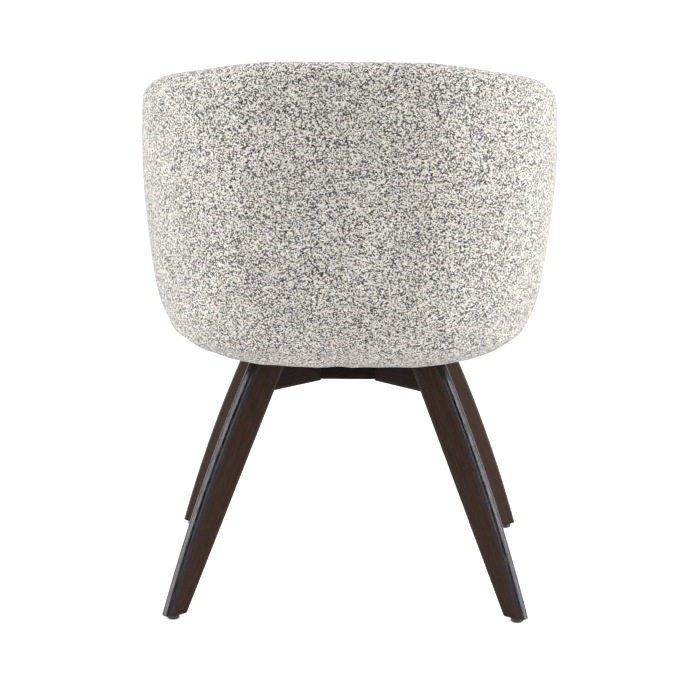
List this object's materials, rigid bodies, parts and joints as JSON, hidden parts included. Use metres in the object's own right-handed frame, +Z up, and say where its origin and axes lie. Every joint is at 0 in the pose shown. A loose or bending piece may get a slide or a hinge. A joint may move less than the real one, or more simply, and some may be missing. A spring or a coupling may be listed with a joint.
{
  "type": "swivel dining chair",
  "caption": "Swivel dining chair: fleck-weave upholstered tub seat with a sloping rounded rim on a roller turntable and splayed dark wooden legs.",
  "frame": {"origin": "on the swivel axis at floor level, in the middle of the chair's footprint", "axes": "+Z up along the swivel axis, +Y the way the sitter faces, +X to the sitter's right as seen from above with +Y ahead"},
  "size_m": [0.5872, 0.607, 0.7955],
  "materials": {
    "dark_wood": "satin espresso stain",
    "beech": "raw",
    "nylon": "matt",
    "black_steel": "black powder coat",
    "zinc_steel": "zinc plated",
    "bright_steel": "ground",
    "cage_plastic": "natural",
    "plywood": "raw plywood",
    "boucle": "nubby fleck weave",
    "lining": "spun lining"
  },
  "bodies": {
    "base": {"leg_front_left": "dark_wood", "leg_front_right": "dark_wood", "leg_rear_left": "dark_wood", "leg_rear_right": "dark_wood", "arm_front_left": "dark_wood", "arm_front_right": "dark_wood", "arm_rear_left": "dark_wood", "arm_rear_right": "dark_wood", "hub_block": "dark_wood", "hub_dowels": "beech", "knee_dowels": "beech", "foot_glides": "nylon", "glide_nails": "zinc_steel", "swivel_lower_plate": "black_steel", "plate_screws": "zinc_steel", "pivot_bolt": "zinc_steel", "pivot_washer": "zinc_steel", "pivot_nut": "zinc_steel"},
    "bearing": {"roller_cage": "cage_plastic", "thrust_rollers": "bright_steel"},
    "seat": {"swivel_upper_plate": "black_steel", "stop_pin": "zinc_steel", "seat_bolts": "zinc_steel", "tee_nuts": "zinc_steel", "deck_screws": "zinc_steel", "band_screws": "zinc_steel", "swivel_board": "plywood", "seat_deck": "plywood", "back_band": "plywood", "tub_upholstery": "boucle", "seat_cushion": "boucle", "dust_cover": "lining", "cover_staples": "zinc_steel"}
  },
  "joints": [
    {"name": "seat_swivel", "type": "hinge", "parent": "base", "child": "seat", "pos_m": [0, 0, 0.35], "axis": [0, 0, 1], "range_deg": [-90, 90]},
    {"name": "bearing_turn", "type": "hinge", "parent": "base", "child": "bearing", "pos_m": [0, 0, 0.35], "axis": [0, 0, 1], "range_deg": [-45, 45]}
  ],
  "couplings": [
    {"joint": "bearing_turn", "follows": "seat_swivel", "ratio": 0.5}
  ]
}
